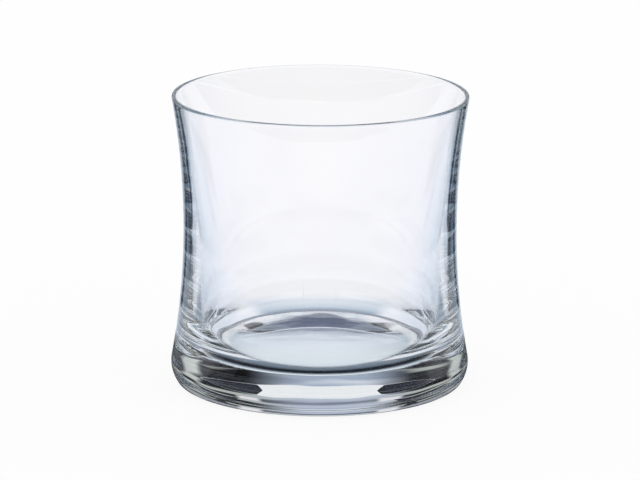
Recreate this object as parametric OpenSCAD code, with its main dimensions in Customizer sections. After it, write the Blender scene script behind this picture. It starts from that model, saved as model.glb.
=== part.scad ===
// Waisted tumbler: an open bowl of clear glass on a thick base.
// Sizes in millimetres, +Z up, origin in the middle of the plane that the glass stands on.

/* [Outside] */
// Overall height
height = 93; // [80:0.5:110]
// Diameter over the lip
rim_d = 94; // [80:0.2:110]
// How far the waist is drawn in from the lip
waist_in = 3.6; // [1:0.1:8]
// Height of the waist
waist_z = 50.5; // [42:0.5:60]
// How far the base stands out from the waist
base_out = 4; // [1:0.1:8]
// Height of the widest circle of the base
base_z = 6.5; // [4:0.1:8]
// Radius of the rounded heel
heel_r = 10; // [8.5:0.1:14]
// Radius of the corner between the heel and the standing plane
foot_r = 2.2; // [1:0.1:3]

/* [Bowl] */
// Thickness of the glass at the lip
lip_t = 1.4; // [1:0.1:2.4]
// Thickness from the waist in to the bowl at its narrowest
side_t = 4.6; // [3:0.1:8]
// Thickness of the glass below the edge of the bowl's floor
floor_t = 10.2; // [7:0.1:16]
// How far the floor dips from there to its middle
floor_dip = 0.6; // [0.2:0.1:1.5]
// How far the round between the side and the floor reaches in over the floor
floor_r = 6.9; // [3:0.1:12]
// How far that round reaches up the side
floor_h = 14.5; // [8:0.1:20]

/* [Underside] */
// Width of the flat ring that the glass stands on
ring_w = 12; // [8:0.1:16]
// Width of the slope from that ring in to the flat middle of the hollow
slope_w = 16; // [8:0.1:18]
// Depth of the hollow
punt_depth = 0.8; // [0.4:0.1:2]

/* [Zones] */
// Height of the lip zone
lip_h = 4; // [3:0.1:10]

/* [Hidden] */
glass = [0.9, 0.92, 0.97, 0.4];
$fn = 160;
// Steps along the wall, and along each small round
wall_steps = 24;
round_steps = 12;

rim_r = rim_d / 2;
waist_r = rim_r - waist_in;
base_r = waist_r + base_out;
bowl_r = waist_r - side_t;
lip_r = lip_t / 2;
bowl_z = floor_t + floor_h;
lip_z = height - lip_h;

// Radius of the arc that is upright at the first point and passes through the second one
function arc_r(r0, z0, r1, z1) = ((z1 - z0) ^ 2 + (r1 - r0) ^ 2) / (2 * (r1 - r0));
// Distance from the axis at height z, on an arc of radius big that is upright at r0, z0
function bow(r0, z0, big, z) = r0 + big - sqrt(big ^ 2 - (z - z0) ^ 2);
// Points of a small round, between two angles about its middle; rise draws it out in height
function arc(mid, r, from, to, rise = 1) = [
    for (i = [0 : round_steps])
        let (a = from + (to - from) * i / round_steps)
            mid + r * [cos(a), rise * sin(a)]
];
// Direction from one point of the section to another
function angle(from, to) = atan2(to.y - from.y, to.x - from.x);

// Middles of the small rounds in the section: lip, heel and foot
lip_c = [rim_r - lip_r, height - lip_r];
heel_c = [base_r - heel_r, base_z];
foot_c = [heel_c.x + sqrt((heel_r - foot_r) ^ 2 - (base_z - foot_r) ^ 2), foot_r];

// The long arcs of the side run into those rounds without a corner
upper_r = arc_r(waist_r, waist_z, rim_r, lip_c.y) - lip_r;
lower_r = arc_r(waist_r, waist_z, base_r, base_z) - heel_r;
inner_r = arc_r(bowl_r, bowl_z, rim_r - lip_t, lip_c.y) + lip_r;
lip_out = angle(lip_c, [waist_r + upper_r, waist_z]);
lip_in = angle([bowl_r + inner_r, bowl_z], lip_c);
heel_top = angle(heel_c, [waist_r + lower_r, waist_z]);
heel_low = angle(heel_c, foot_c);

function outside(z) = bow(waist_r, waist_z, z > waist_z ? upper_r : lower_r, z);
function inside(z) = bow(bowl_r, bowl_z, inner_r, z);
function heights(from, to) = [for (i = [0 : wall_steps]) from + (to - from) * i / wall_steps];
function outer_line(from, to) = [for (z = heights(from, to)) [outside(z), z]];
function inner_line(from, to) = [for (z = heights(from, to)) [inside(z), z]];

// Turns a closed section round the axis, in the colour of the glass
module turned(section) {
    color(glass) rotate_extrude() polygon(section);
}

module base() {
    punt_r = foot_c.x - ring_w;
    slope_r = (slope_w ^ 2 + punt_depth ^ 2) / (2 * punt_depth);
    slope_c = [punt_r - slope_w, punt_depth - slope_r];
    edge = [bowl_r - floor_r, floor_t];
    dip_r = (edge.x ^ 2 + floor_dip ^ 2) / (2 * floor_dip);
    dip_c = [0, floor_t - floor_dip + dip_r];
    turned(concat(
        [[0, punt_depth]],
        arc(slope_c, slope_r, 90, angle(slope_c, [punt_r, 0])),
        arc(foot_c, foot_r, -90, heel_low),
        arc(heel_c, heel_r, heel_low, heel_top),
        outer_line(heel_c.y + heel_r * sin(heel_top), bowl_z),
        arc([edge.x, bowl_z], floor_r, 0, -90, floor_h / floor_r),
        arc(dip_c, dip_r, angle(dip_c, edge), -90)
    ));
}

module wall() {
    turned(concat(outer_line(bowl_z, lip_z), inner_line(lip_z, bowl_z)));
}

module rim() {
    turned(concat(
        outer_line(lip_z, lip_c.y + lip_r * sin(lip_out)),
        arc(lip_c, lip_r, lip_out, lip_in),
        inner_line(lip_c.y + lip_r * sin(lip_in), lip_z)
    ));
}

base();
wall();
rim();
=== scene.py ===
import math

import bpy
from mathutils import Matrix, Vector


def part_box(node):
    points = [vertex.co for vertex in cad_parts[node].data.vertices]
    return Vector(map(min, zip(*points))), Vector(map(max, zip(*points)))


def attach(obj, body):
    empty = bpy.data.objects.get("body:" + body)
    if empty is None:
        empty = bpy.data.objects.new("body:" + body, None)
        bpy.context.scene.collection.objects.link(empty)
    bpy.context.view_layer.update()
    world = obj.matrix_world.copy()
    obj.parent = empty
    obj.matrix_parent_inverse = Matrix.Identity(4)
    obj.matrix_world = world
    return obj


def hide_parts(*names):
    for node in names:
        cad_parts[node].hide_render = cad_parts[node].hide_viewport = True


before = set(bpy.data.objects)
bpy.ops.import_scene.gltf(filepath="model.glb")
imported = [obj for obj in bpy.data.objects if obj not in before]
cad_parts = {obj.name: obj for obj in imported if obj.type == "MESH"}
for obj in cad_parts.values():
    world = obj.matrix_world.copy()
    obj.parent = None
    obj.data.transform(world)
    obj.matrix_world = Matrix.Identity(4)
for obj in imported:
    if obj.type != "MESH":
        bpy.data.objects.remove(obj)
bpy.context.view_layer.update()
print("frame loaded:", sorted(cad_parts))


# Section of the glass, in metres: x is the distance from the axis, z the height
def arcThrough(r0, z0, r1, z1):
    return ((z1 - z0) ** 2 + (r1 - r0) ** 2) / (2 * (r1 - r0))  # upright at the first point


def bow(r0, z0, big, z):
    return r0 + big - math.sqrt(big ** 2 - (z - z0) ** 2)


def between(start, end, steps):
    return [start + (end - start) * i / steps for i in range(steps + 1)]


def roundPoints(mid, reach, rise, start, end, steps):
    turns = between(start, end, steps)
    return [(mid[0] + reach * math.cos(a), mid[1] + rise * math.sin(a)) for a in turns]


def heading(start, end):
    return math.atan2(end[1] - start[1], end[0] - start[0])


tumbler = {
    "waistIn": 0.0036,         # how far the waist is drawn in from the lip
    "waistHeight": 0.0505,
    "baseHeight": 0.0065,      # height of the widest circle of the base
    "heelRadius": 0.01,
    "footRadius": 0.0022,
    "lipThickness": 0.0014,
    "sideThickness": 0.0046,   # from the waist in to the bowl at its narrowest
    "floorThickness": 0.0102,  # below the edge of the bowl's floor
    "floorDip": 0.0006,        # from that edge down to its middle
    "floorReach": 0.0069,      # how far the round beside the floor comes in
    "ringWidth": 0.012,        # flat ring that the glass stands on
    "slopeWidth": 0.016,       # from that ring in to the flat middle of the hollow
    "puntDepth": 0.0008,
    "rippleDepth": 5e-7,       # faint rings that the mould leaves on the inside
    "ripples": [(2300, 1, 0), (1490, 0.8, 1), (3700, 0.5, 2)],  # pace, strength and start of each
    "rippleRise": 0.006,       # they grow over this height above the bottom of the bowl
    "rippleTop": 0.085,        # and fade out below this one
    "rippleFade": 0.04,
    "turnSteps": 270,
    "wallSteps": 100,
    "roundSteps": 24,
}


def tumblerSection(t):
    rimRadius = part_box("rim")[1].x
    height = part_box("rim")[1].z
    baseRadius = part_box("base")[1].x
    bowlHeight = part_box("base")[1].z
    waistRadius = rimRadius - t["waistIn"]
    bowlRadius = waistRadius - t["sideThickness"]
    lipRadius = t["lipThickness"] / 2
    heelRadius = t["heelRadius"]
    footRadius = t["footRadius"]
    steps, wallSteps = t["roundSteps"], t["wallSteps"]

    lipMid = (rimRadius - lipRadius, height - lipRadius)
    heelMid = (baseRadius - heelRadius, t["baseHeight"])
    inset = (heelRadius - footRadius) ** 2 - (t["baseHeight"] - footRadius) ** 2
    footMid = (heelMid[0] + math.sqrt(inset), footRadius)
    puntRadius = footMid[0] - t["ringWidth"]
    slopeArc = (t["slopeWidth"] ** 2 + t["puntDepth"] ** 2) / (2 * t["puntDepth"])
    slopeMid = (puntRadius - t["slopeWidth"], t["puntDepth"] - slopeArc)
    floorRadius = bowlRadius - t["floorReach"]
    floorRise = bowlHeight - t["floorThickness"]
    dipArc = (floorRadius ** 2 + t["floorDip"] ** 2) / (2 * t["floorDip"])
    dipMid = (0, t["floorThickness"] - t["floorDip"] + dipArc)

    # long arcs of the side, each running into its small round without a corner
    upper = arcThrough(waistRadius, t["waistHeight"], rimRadius, lipMid[1]) - lipRadius
    lower = arcThrough(waistRadius, t["waistHeight"], baseRadius, t["baseHeight"]) - heelRadius
    inner = arcThrough(bowlRadius, bowlHeight, rimRadius - t["lipThickness"], lipMid[1]) + lipRadius
    lipOut = heading(lipMid, (waistRadius + upper, t["waistHeight"]))
    lipIn = heading((bowlRadius + inner, bowlHeight), lipMid)
    heelTop = heading(heelMid, (waistRadius + lower, t["waistHeight"]))
    heelLow = heading(heelMid, footMid)

    def outside(z):
        return bow(waistRadius, t["waistHeight"], upper if z > t["waistHeight"] else lower, z)

    def inside(z):
        share = min(1, (z - bowlHeight) / t["rippleRise"])
        share *= max(0, min(1, (t["rippleTop"] - z) / t["rippleFade"]))
        rings = sum(strength * math.sin(z * pace + start) for pace, strength, start in t["ripples"])
        return bow(bowlRadius, bowlHeight, inner, z) + t["rippleDepth"] * share * rings

    puntEdge = heading(slopeMid, (puntRadius, 0))
    section = [(0, t["puntDepth"])]
    section += roundPoints(slopeMid, slopeArc, slopeArc, math.pi / 2, puntEdge, steps)
    section += roundPoints(footMid, footRadius, footRadius, -math.pi / 2, heelLow, steps)
    section += roundPoints(heelMid, heelRadius, heelRadius, heelLow, heelTop, steps)[1:]
    wallFoot = heelMid[1] + heelRadius * math.sin(heelTop)
    wallTop = lipMid[1] + lipRadius * math.sin(lipOut)
    section += [(outside(z), z) for z in between(wallFoot, wallTop, wallSteps)][1:]
    section += roundPoints(lipMid, lipRadius, lipRadius, lipOut, lipIn, steps)[1:]
    innerTop = lipMid[1] + lipRadius * math.sin(lipIn)
    section += [(inside(z), z) for z in between(innerTop, bowlHeight, wallSteps)][1:]
    cornerMid = (floorRadius, bowlHeight)
    section += roundPoints(cornerMid, t["floorReach"], floorRise, 0, -math.pi / 2, steps)[1:]
    dipEdge = heading(dipMid, (floorRadius, t["floorThickness"]))
    section += roundPoints(dipMid, dipArc, dipArc, dipEdge, -math.pi / 2, steps)[1:]
    section[-1] = (0, section[-1][1])
    return [Vector((x, 0, z)) for x, z in section]


def turnGlass(name, section, steps):
    bpy.ops.object.select_all(action="DESELECT")
    bpy.ops.mesh.primitive_plane_add(size=0.002)
    piece = bpy.context.object
    piece.name = name
    bpy.ops.object.mode_set(mode="EDIT")
    bpy.ops.mesh.select_mode(type="VERT")
    bpy.ops.mesh.select_all(action="SELECT")
    bpy.ops.mesh.merge(type="CENTER")  # one point, drawn along the section
    bpy.ops.transform.translate(value=section[0])
    for here, there in zip(section, section[1:]):
        bpy.ops.mesh.extrude_vertices_move(TRANSFORM_OT_translate={"value": there - here})
    bpy.ops.mesh.select_all(action="SELECT")
    bpy.ops.mesh.spin(steps=steps, angle=2 * math.pi, center=(0, 0, 0), axis=(0, 0, 1))
    bpy.ops.mesh.select_all(action="SELECT")
    bpy.ops.mesh.remove_doubles(threshold=1e-6)
    bpy.ops.mesh.normals_make_consistent(inside=False)
    bpy.ops.object.mode_set(mode="OBJECT")
    bpy.ops.object.shade_smooth()
    return piece


section = tumblerSection(tumbler)
glass = turnGlass("crystalTumbler", section, tumbler["turnSteps"])
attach(glass, "root")
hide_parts("base", "wall", "rim")
print("glass turned:", len(section), "points in the section,", len(glass.data.polygons), "faces")


# Small helpers for the node trees
def node(tree, kind, **settings):
    made = tree.nodes.new(kind)
    for name, value in settings.items():
        setattr(made, name, value)
    return made


def reckon(tree, operation, first, second=0):
    made = node(tree, "ShaderNodeMath", operation=operation)
    for socket, value in zip(made.inputs, (first, second)):
        if isinstance(value, (int, float)):
            socket.default_value = value
        else:
            tree.links.new(value, socket)
    return made.outputs[0]


def times(tree, first, *others):
    for other in others:
        first = reckon(tree, "MULTIPLY", first, other)
    return first


def length(tree, x, y):
    return reckon(tree, "SQRT", reckon(tree, "ADD", times(tree, x, x), times(tree, y, y)))


def glassRays(tree):
    rays = node(tree, "ShaderNodeLightPath").outputs
    return rays, reckon(tree, "MAXIMUM", rays["Is Glossy Ray"], rays["Is Transmission Ray"])


def ramp(tree, value, stops):
    made = node(tree, "ShaderNodeValToRGB")
    points = made.color_ramp.elements
    while len(points) < len(stops):
        points.new(1)
    for point, (place, colour) in zip(points, stops):
        point.position = place
        point.color = (*colour, 1)
    tree.links.new(value, made.inputs[0])
    return made.outputs[0]


def scaled(tree, value, factor, lift=0):
    made = node(tree, "ShaderNodeMath", operation="MULTIPLY_ADD")
    made.inputs[1].default_value = factor
    made.inputs[2].default_value = lift
    tree.links.new(value, made.inputs[0])
    return made.outputs[0]


def step(tree, value, start, end):
    made = node(tree, "ShaderNodeMapRange", interpolation_type="SMOOTHSTEP")
    made.inputs["From Min"].default_value = start
    made.inputs["From Max"].default_value = end
    tree.links.new(value, made.inputs["Value"])
    return made.outputs[0]


def blend(tree, first, second, share, kind="MIX"):
    made = node(tree, "ShaderNodeMix", data_type="RGBA", blend_type=kind)
    for socket, value in ((made.inputs["A"], first), (made.inputs["B"], second)):
        if isinstance(value, tuple):
            socket.default_value = (*value, 1)
        else:
            tree.links.new(value, socket)
    if isinstance(share, int):
        made.inputs["Factor"].default_value = share
    else:
        tree.links.new(share, made.inputs["Factor"])
    return made.outputs["Result"]


def mixShaders(tree, share, first, second):
    made = node(tree, "ShaderNodeMixShader")
    for socket, source in zip(made.inputs, (share, first, second)):
        tree.links.new(source, socket)
    return made.outputs[0]


def noise(tree, place, scale, detail):
    made = node(tree, "ShaderNodeTexNoise")
    made.inputs["Scale"].default_value = scale
    made.inputs["Detail"].default_value = detail
    tree.links.new(place, made.inputs["Vector"])
    return made.outputs[0]


crystal = {
    "ior": 1.52,
    "height": 0.093,
    "tint": [(0.0, (0.97, 0.975, 0.985)), (0.3, (0.985, 0.982, 1.0)), (1.0, (0.992, 0.99, 1.0))],
    "cordScale": 40,           # streaks of slightly denser glass
    "cord": [(0.35, (0.99, 0.99, 0.99)), (0.65, (1, 1, 1))],
    "waveScale": 55,           # soft waves left by the fire polishing
    "waveStrength": 0.014,
    "waveDepth": 0.01,
    "waveWall": 0.3,           # share of them that the wall has
    "waveFade": (0.034, 0.016),
    "wear": 0.04,              # fine scratches where the glass stands
    "wearHeight": 0.0003,
    "scratchScale": 900,
    "depthColour": (0.45, 0.58, 0.62, 1),  # what long ways through the glass turn to
    "depth": 2.5,
}


def crystalMaterial(c):
    material = bpy.data.materials.new("clearCrystal")
    material.use_nodes = True
    tree = material.node_tree
    link = tree.links.new
    shader = tree.nodes["Principled BSDF"]
    shader.inputs["IOR"].default_value = c["ior"]
    shader.inputs["Transmission Weight"].default_value = 1

    place = node(tree, "ShaderNodeTexCoord").outputs["Object"]
    apart = node(tree, "ShaderNodeSeparateXYZ")
    link(place, apart.inputs[0])
    tint = ramp(tree, scaled(tree, apart.outputs["Z"], 1 / c["height"]), c["tint"])
    cord = noise(tree, place, c["cordScale"], 2)
    link(blend(tree, tint, ramp(tree, cord, c["cord"]), 1, "MULTIPLY"), shader.inputs["Base Color"])

    stands = step(tree, apart.outputs["Z"], c["wearHeight"], 0)
    worn = times(tree, stands, noise(tree, place, c["scratchScale"], 4))
    link(scaled(tree, worn, c["wear"]), shader.inputs["Roughness"])

    bump = node(tree, "ShaderNodeBump")
    bump.inputs["Strength"].default_value = c["waveStrength"]
    bump.inputs["Distance"].default_value = c["waveDepth"]
    waves = scaled(tree, noise(tree, place, c["waveScale"], 1), 1, -0.5)
    low = scaled(tree, step(tree, apart.outputs["Z"], *c["waveFade"]), 1 - c["waveWall"], c["waveWall"])
    link(times(tree, waves, low), bump.inputs["Height"])
    link(bump.outputs[0], shader.inputs["Normal"])

    depth = node(tree, "ShaderNodeVolumeAbsorption")
    depth.inputs["Color"].default_value = c["depthColour"]
    depth.inputs["Density"].default_value = c["depth"]
    link(depth.outputs[0], tree.nodes["Material Output"].inputs["Volume"])
    return material


glass.data.materials.append(crystalMaterial(crystal))
print("crystal finished")

photoView = {
    "azimuth": 225,
    "elevation": 13.76,
    "distance": 1.4,
    "lens": 247.8,
    "sensor": 36,
    "aimHeight": 0.0456,
    "roll": 0.21,
}
viewAngle = math.radians(photoView["azimuth"])
lookAlong = Vector((-math.sin(viewAngle), math.cos(viewAngle), 0))
lookAcross = Vector((math.cos(viewAngle), math.sin(viewAngle), 0))


def addCamera(v):
    bpy.ops.object.camera_add()
    camera = bpy.context.object
    rise = math.radians(v["elevation"])
    back = -lookAlong * math.cos(rise) + Vector((0, 0, math.sin(rise)))
    camera.location = Vector((0, 0, v["aimHeight"])) + back * v["distance"]
    camera.rotation_euler = (-back).to_track_quat("-Z", "Y").to_euler()
    camera.rotation_euler.rotate_axis("Z", math.radians(v["roll"]))
    camera.data.lens = v["lens"]
    camera.data.sensor_width = v["sensor"]
    bpy.context.scene.camera = camera


addCamera(photoView)
print("camera placed")


# Everything below is the studio round the glass, laid out along the photo's line of sight
def studioAxes(tree, kind):
    turned = node(tree, "ShaderNodeMapping")
    turned.inputs["Rotation"].default_value = (0, 0, -viewAngle)
    tree.links.new(node(tree, "ShaderNodeTexCoord").outputs[kind], turned.inputs["Vector"])
    apart = node(tree, "ShaderNodeSeparateXYZ")
    tree.links.new(turned.outputs[0], apart.inputs[0])
    return apart.outputs


floor = {
    "size": 6.0,
    "drop": 0.0001,
    "colour": (0.92, 0.92, 0.92, 1),
    "white": 0.9,              # share of plain white that the camera sees; the rest keeps the shadow
    "poolReach": 0.2,          # behind the glass a painted pool of light fades sideways into painted dark panels
    "pool": [(0.0, (1, 1, 1)), (0.36, (0.99, 0.99, 1)), (0.55, (0.90, 0.94, 0.98)),
             (0.70, (0.78, 0.85, 0.92)), (0.77, (0.45, 0.53, 0.63)), (0.83, (0.08, 0.10, 0.14)),
             (0.9, (0.02, 0.03, 0.05))],
    "lane": 0.029,             # half width of the evenly lit lane; beside it by across over along
    "edge": [(0.0, (1, 1, 1)), (0.10, (0.985, 0.985, 1)), (0.17, (0.955, 0.965, 0.99)),
             (0.28, (0.80, 0.86, 0.92)), (0.40, (0.62, 0.72, 0.81)), (0.47, (0.50, 0.60, 0.70)),
             (0.51, (0.02, 0.03, 0.05)), (0.64, (0.02, 0.03, 0.05)), (0.71, (0.62, 0.72, 0.81)),
             (1.0, (0.88, 0.92, 0.96))],
    "edgeStart": (0.104, 0.092),  # closer to the glass that painted shade is an even tint
    "edgeNear": [(0.0, (1, 1, 1)), (0.2, (0.95, 0.97, 1)), (0.4, (0.86, 0.91, 0.96)),
                 (0.7, (0.70, 0.78, 0.86))],
    "panelEnd": (1.28, 1.45),  # outer edge of the painted dark panels, across over along
    "panelBeside": (0.92, 0.94, 0.97),
    "behind": (-0.03, 0.03),   # where the table in front turns into the one behind
    "frontPool": [(0.0, (1, 1, 1)), (0.3, (0.97, 0.98, 1)), (0.6, (0.88, 0.91, 0.96)),
                  (1.0, (0.93, 0.94, 0.97))],
    "sideReach": 0.12,         # shade beside the glass
    "sideShade": [(0.42, (0.92, 0.95, 0.98)), (0.50, (0.38, 0.44, 0.50)), (0.57, (0.38, 0.44, 0.50)),
                  (0.63, (0.25, 0.30, 0.36)), (0.66, (0.25, 0.30, 0.36)), (0.70, (0.42, 0.48, 0.54)),
                  (0.80, (0.64, 0.71, 0.77)), (0.92, (0.92, 0.95, 0.98))],
    "sideEdge": (1.8, 2.6),    # only straight to the left and right, across over along
    "far": (0.31, 0.40),       # the table is white again further out
    "farLean": -0.3,           # and the more so towards the front
    "nearReach": 0.1,          # faint shadow close round the glass
    "near": [(0.465, (0.30, 0.38, 0.48)), (0.49, (0.45, 0.55, 0.63)), (0.53, (0.64, 0.73, 0.81)),
             (0.565, (0.88, 0.92, 0.96)), (0.61, (1, 1, 1))],
    "nearEdge": (0.45, 0.65),  # that shadow ends sideways, across over along
    "nearBeside": (0.95, 0.97, 1),
    "frontStart": (0.07, 0.05),   # further forward the table mirrored in the glass is painted dark: a painted dark reflection
    "frontReach": 0.5,
    "frontNear": [(0.094, (0.03, 0.03, 0.035)), (0.232, (0.05, 0.05, 0.06)), (0.30, (0.5, 0.51, 0.54)),
                  (0.38, (0.95, 0.95, 0.97)), (0.60, (0.9, 0.9, 0.93)), (0.80, (0.25, 0.26, 0.30))],
    "foot": (0.0455, 0.0465),  # edge of the table under the glass
    "underReach": 0.05,        # its painted shade, by the distance from the axis
    "under": [(0.0, (0.80, 0.87, 0.92)), (0.5, (0.74, 0.82, 0.88)), (0.62, (0.58, 0.68, 0.76)),
              (0.78, (0.55, 0.66, 0.76)), (0.84, (0.24, 0.31, 0.40)), (0.92, (0.24, 0.31, 0.40))],
    "underSide": (0.93, 0.96, 0.98),  # light falls in beside the far foot
    "underEdge": (0.34, 0.52),
    "underFrom": (0.030, 0.034),
    "underTo": (0.0428, 0.0412),
    "ringSquash": 0.85,
    "ring": [(0.0, (0.84, 0.92, 0.95)), (0.52, (0.84, 0.92, 0.95)), (0.60, (0.50, 0.57, 0.64)),
             (0.65, (0.10, 0.12, 0.15)), (0.68, (0.008, 0.01, 0.015)), (0.74, (0.008, 0.01, 0.015)),
             (0.79, (0.15, 0.19, 0.24)), (0.92, (0.30, 0.36, 0.44))],
    "ringFront": (-0.002, -0.014),  # that painted dark ring of shade lies on the near side only
}


def floorMaterial(f):
    material = bpy.data.materials.new("paleFloor")
    material.use_nodes = True
    tree = material.node_tree
    tree.nodes.clear()
    link = tree.links.new
    out = node(tree, "ShaderNodeOutputMaterial")
    matt = node(tree, "ShaderNodeBsdfDiffuse")
    matt.inputs["Color"].default_value = f["colour"]
    white = node(tree, "ShaderNodeEmission")
    lit = node(tree, "ShaderNodeEmission")
    rays, seen = glassRays(tree)

    axes = studioAxes(tree, "Object")
    across = reckon(tree, "ABSOLUTE", axes["X"])
    along = axes["Y"]
    away = length(tree, across, along)
    beside = reckon(tree, "DIVIDE", across, reckon(tree, "ABSOLUTE", along))

    # painted light and shade on the table behind the glass, then in front, then close by
    pool = ramp(tree, scaled(tree, across, 1 / f["poolReach"]), f["pool"])
    # painted shade beside the evenly lit lane, darkest in the painted dark panels
    edge = reckon(tree, "DIVIDE", scaled(tree, across, 1, -f["lane"]), reckon(tree, "ABSOLUTE", along))
    closeBy = step(tree, along, *f["edgeStart"])
    tint = blend(tree, ramp(tree, edge, f["edge"]), ramp(tree, edge, f["edgeNear"]), closeBy)
    pool = blend(tree, pool, tint, 1, "MULTIPLY")
    pool = blend(tree, pool, f["panelBeside"], step(tree, beside, *f["panelEnd"]))
    pool = blend(tree, ramp(tree, beside, f["frontPool"]), pool, step(tree, along, *f["behind"]))
    outer = step(tree, reckon(tree, "ADD", away, scaled(tree, along, f["farLean"])), *f["far"])
    table = blend(tree, pool, (1, 1, 1), outer)
    near = ramp(tree, scaled(tree, away, 1 / f["nearReach"]), f["near"])
    near = blend(tree, near, f["nearBeside"], step(tree, beside, *f["nearEdge"]))
    # painted dark reflection of the table in front, for rays off the glass only
    ahead = ramp(tree, scaled(tree, away, 1 / f["frontReach"]), f["frontNear"])
    mirrored = scaled(tree, rays["Is Transmission Ray"], -1, 1)
    near = blend(tree, near, ahead, times(tree, mirrored, step(tree, along, *f["frontStart"])))
    table = blend(tree, table, near, 1, "MULTIPLY")
    shaded = ramp(tree, scaled(tree, across, 1 / f["sideReach"]), f["sideShade"])
    table = blend(tree, table, shaded, step(tree, beside, *f["sideEdge"]), "MULTIPLY")

    # painted shade on the table under the glass
    under = ramp(tree, scaled(tree, away, 1 / f["underReach"]), f["under"])
    lightIn = times(tree, step(tree, beside, *f["underEdge"]), step(tree, away, *f["underFrom"]),
                    step(tree, away, *f["underTo"]))
    under = blend(tree, under, f["underSide"], lightIn)
    # painted dark ring of shade under the near side of the foot
    squashed = length(tree, scaled(tree, across, f["ringSquash"]), along)
    ring = ramp(tree, scaled(tree, squashed, 1 / f["underReach"]), f["ring"])
    under = blend(tree, under, ring, step(tree, along, *f["ringFront"]))
    link(blend(tree, under, table, step(tree, away, *f["foot"])), lit.inputs["Color"])

    # the camera sees the pale floor, rays off or through the glass the painted light and shade above
    share = scaled(tree, rays["Is Camera Ray"], f["white"])
    bright = mixShaders(tree, share, matt.outputs[0], white.outputs[0])
    link(mixShaders(tree, seen, bright, lit.outputs[0]), out.inputs["Surface"])
    return material


def addFloor(f):
    bpy.ops.object.select_all(action="DESELECT")
    bpy.ops.mesh.primitive_plane_add(size=f["size"], location=(0, 0, -f["drop"]))
    plane = bpy.context.object
    plane.name = "studioFloor"
    bpy.ops.object.transform_apply()
    plane.data.materials.append(floorMaterial(f))


addFloor(floor)
print("floor laid")

# Two small dark flags stand edge on behind the glass, only for what the crystal sees: the camera never
# sees them and they cast no shadow, so they paint dark streaks into the glass
flags = {
    "apart": 0.0124,
    "start": 0.0485,
    "length": 0.0095,
    "height": 0.007,
    "toe": 0.6,                # degrees, so that straight rays meet only their edges
    "colour": (0.03, 0.032, 0.042, 1),
}


def addFlag(name, f, side):
    bpy.ops.object.select_all(action="DESELECT")
    middle = lookAlong * (f["start"] + f["length"] / 2) + lookAcross * side * f["apart"] / 2
    bpy.ops.mesh.primitive_plane_add(size=1, location=(middle.x, middle.y, f["height"] / 2))
    flag = bpy.context.object
    flag.name = name
    flag.scale = (f["height"], f["length"], 1)
    flag.rotation_euler = (0, math.pi / 2, viewAngle + side * math.radians(f["toe"]))
    bpy.ops.object.transform_apply()
    material = bpy.data.materials.new(name)
    material.use_nodes = True
    tree = material.node_tree
    tree.nodes.clear()
    dark = node(tree, "ShaderNodeEmission")
    dark.inputs["Color"].default_value = f["colour"]
    tree.links.new(dark.outputs[0], node(tree, "ShaderNodeOutputMaterial").inputs["Surface"])
    flag.data.materials.append(material)
    flag.visible_camera = False
    flag.visible_diffuse = False
    flag.visible_shadow = False


addFlag("leftFlag", flags, -1)
addFlag("rightFlag", flags, 1)
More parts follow.
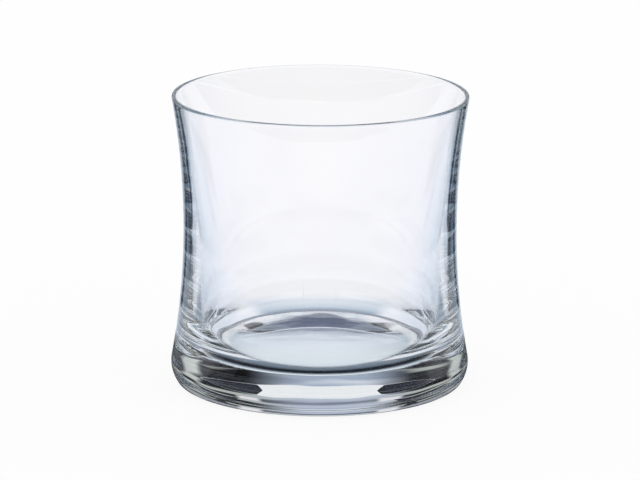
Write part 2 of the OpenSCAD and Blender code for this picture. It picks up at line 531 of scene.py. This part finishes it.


# What the crystal sees of the room, painted into the world for rays off or through the glass only, as
# painted reflections of light and dark: height in shares of 90 degrees, straight behind and to the sides
sky = {
    "white": 0.984,
    "shift": 4,                # the light wall stands a little to the left, in degrees
    "wall": [(0.0, (0.08, 0.09, 0.11)), (0.05, (0.08, 0.09, 0.11)), (0.07, (0.30, 0.34, 0.42)),
             (0.09, (0.52, 0.55, 0.66)), (0.13, (0.60, 0.64, 0.76)), (0.160, (0.46, 0.52, 0.64)),
             (0.173, (0.42, 0.49, 0.61)), (0.188, (0.77, 0.80, 0.88)), (0.30, (0.90, 0.92, 0.97)),
             (0.38, (0.36, 0.40, 0.46)), (0.60, (0.20, 0.25, 0.32)), (0.838, (0.20, 0.25, 0.32)),
             (0.852, (0.75, 0.83, 0.87)), (1.0, (0.85, 0.90, 0.93))],
    "wallEdge": (5, 26),       # from the wall to the flags beside it, in degrees
    "flag": [(0.0, (0.42, 0.42, 0.46)), (0.035, (0.42, 0.42, 0.46)), (0.052, (0.16, 0.16, 0.18)),
             (0.063, (0.03, 0.03, 0.033)), (0.096, (0.03, 0.03, 0.033)), (0.105, (0.52, 0.55, 0.52)),
             (0.140, (0.52, 0.55, 0.52)), (0.153, (0.007, 0.006, 0.005)), (0.50, (0.007, 0.006, 0.005)),
             (0.55, (0.20, 0.24, 0.30)), (0.60, (0.20, 0.25, 0.32)), (0.838, (0.26, 0.32, 0.39)),
             (0.852, (0.75, 0.83, 0.87)), (1.0, (0.85, 0.90, 0.93))],
    "gap": (0.92, 0.88, 0.92),    # light between the wall and the flags, low down
    "gapStart": (15, 17.5),
    "gapEnd": (25, 22),
    "gapTop": (0.104, 0.093),
    "flagEdge": (44, 50),
    "side": [(0.0, (0.50, 0.52, 0.52)), (0.05, (0.50, 0.52, 0.52)), (0.07, (0.03, 0.03, 0.033)),
             (0.125, (0.03, 0.03, 0.033)), (0.145, (0.60, 0.64, 0.60)), (0.16, (0.66, 0.70, 0.66)),
             (0.212, (0.70, 0.72, 0.68)), (0.235, (0.03, 0.03, 0.03)), (0.36, (0.05, 0.055, 0.06)),
             (0.45, (0.45, 0.49, 0.52)), (0.56, (0.66, 0.70, 0.74)), (0.70, (0.66, 0.70, 0.74)),
             (0.78, (0.45, 0.51, 0.57)), (0.838, (0.45, 0.51, 0.57)), (0.852, (0.75, 0.83, 0.87)),
             (1.0, (0.85, 0.90, 0.93))],
    "front": [(0.0, (0.035, 0.042, 0.062)), (0.03, (0.035, 0.042, 0.062)), (0.045, (0.11, 0.13, 0.17)),
              (0.06, (0.035, 0.042, 0.062)), (0.10, (0.035, 0.042, 0.062)), (0.12, (0.16, 0.19, 0.24)),
              (0.14, (0.04, 0.048, 0.07)), (0.19, (0.04, 0.048, 0.07)), (0.21, (0.15, 0.17, 0.21)),
              (0.24, (0.05, 0.055, 0.075)), (0.30, (0.012, 0.013, 0.016)), (0.60, (0.012, 0.013, 0.016)),
              (0.66, (0.20, 0.25, 0.32)), (0.838, (0.26, 0.32, 0.39)), (0.852, (0.75, 0.83, 0.87)),
              (1.0, (0.85, 0.90, 0.93))],
    "strip": (0.95, 0.96, 1.0),   # painted long low light on either side of the camera, seen only as a painted highlight in the glass
    "stripLow": (0.265, 0.28),
    "stripHigh": (0.395, 0.378),
    "stripEdge": (18, 24),
    "frontEdge": (0.05, -0.05),
    "boxEdge": (58, 66),       # tall painted soft boxes left and right, seen only as painted highlights in the glass
    "box": [(0.0, (0.02, 0.02, 0.022)), (0.075, (0.02, 0.02, 0.022)), (0.09, (0.62, 0.60, 0.54)),
            (0.13, (0.62, 0.60, 0.54)), (0.145, (0.03, 0.03, 0.033)), (0.275, (0.05, 0.05, 0.055)),
            (0.305, (1, 1, 1)), (0.54, (1, 1, 1)), (0.58, (0.35, 0.39, 0.42)),
            (0.87, (0.75, 0.83, 0.87)), (1.0, (0.85, 0.90, 0.93))],
    "card": (0.10, 0.13, 0.22),   # painted dark grey card overhead, seen only in the glass, in shares of its height
    "cardHalf": (0.15, 0.12),
    "cardFrom": (0.21, 0.24),
    "cardTo": (0.72, 0.66),
    "cardLow": 0.01,           # flattest rays that are reckoned with
}


def addSky(s):
    world = bpy.data.worlds.new("whiteStudio")
    bpy.context.scene.world = world
    world.use_nodes = True
    tree = world.node_tree
    tree.nodes.clear()
    link = tree.links.new
    out = node(tree, "ShaderNodeOutputWorld")
    white = node(tree, "ShaderNodeBackground")
    white.inputs["Color"].default_value = (s["white"], s["white"], s["white"], 1)

    axes = studioAxes(tree, "Generated")
    across, along, up = axes["X"], axes["Y"], axes["Z"]
    depth = reckon(tree, "ABSOLUTE", along)
    rise = scaled(tree, reckon(tree, "ARCSINE", up), 2 / math.pi)
    azimuth = scaled(tree, reckon(tree, "ARCTAN2", across, depth), 180 / math.pi)
    plain = reckon(tree, "ABSOLUTE", azimuth)
    aside = reckon(tree, "ABSOLUTE", scaled(tree, azimuth, 1, s["shift"]))

    room = ramp(tree, rise, s["wall"])
    room = blend(tree, room, ramp(tree, rise, s["flag"]), step(tree, aside, *s["wallEdge"]))
    gap = times(tree, step(tree, plain, *s["gapStart"]), step(tree, plain, *s["gapEnd"]),
                step(tree, rise, *s["gapTop"]))
    room = blend(tree, room, s["gap"], gap)
    room = blend(tree, room, ramp(tree, rise, s["side"]), step(tree, aside, *s["flagEdge"]))
    front = step(tree, along, *s["frontEdge"])
    room = blend(tree, room, ramp(tree, rise, s["front"]), front)
    box = times(tree, step(tree, aside, *s["boxEdge"]), scaled(tree, front, -1, 1))
    room = blend(tree, room, ramp(tree, rise, s["box"]), box)
    strip = times(tree, step(tree, rise, *s["stripLow"]), step(tree, rise, *s["stripHigh"]),
                  step(tree, aside, *s["stripEdge"]), front)
    room = blend(tree, room, s["strip"], strip)
    over = reckon(tree, "MAXIMUM", up, s["cardLow"])
    cardAcross = reckon(tree, "ABSOLUTE", reckon(tree, "DIVIDE", across, over))
    cardAlong = reckon(tree, "DIVIDE", depth, over)
    covered = times(tree, step(tree, cardAlong, *s["cardFrom"]), step(tree, cardAlong, *s["cardTo"]),
                    step(tree, cardAcross, *s["cardHalf"]))
    room = blend(tree, room, s["card"], covered)

    shade = node(tree, "ShaderNodeBackground")
    link(room, shade.inputs["Color"])
    # the camera and all other rays see plain white, rays off or through the glass the painted room
    seen = glassRays(tree)[1]
    link(mixShaders(tree, seen, white.outputs[0], shade.outputs[0]), out.inputs["Surface"])


addSky(sky)
print("studio set")

scene = bpy.context.scene
scene.view_settings.view_transform = "Standard"
bounces = 64  # light turns many times inside the heel
scene.cycles.max_bounces = bounces
scene.cycles.transmission_bounces = bounces
scene.cycles.glossy_bounces = bounces
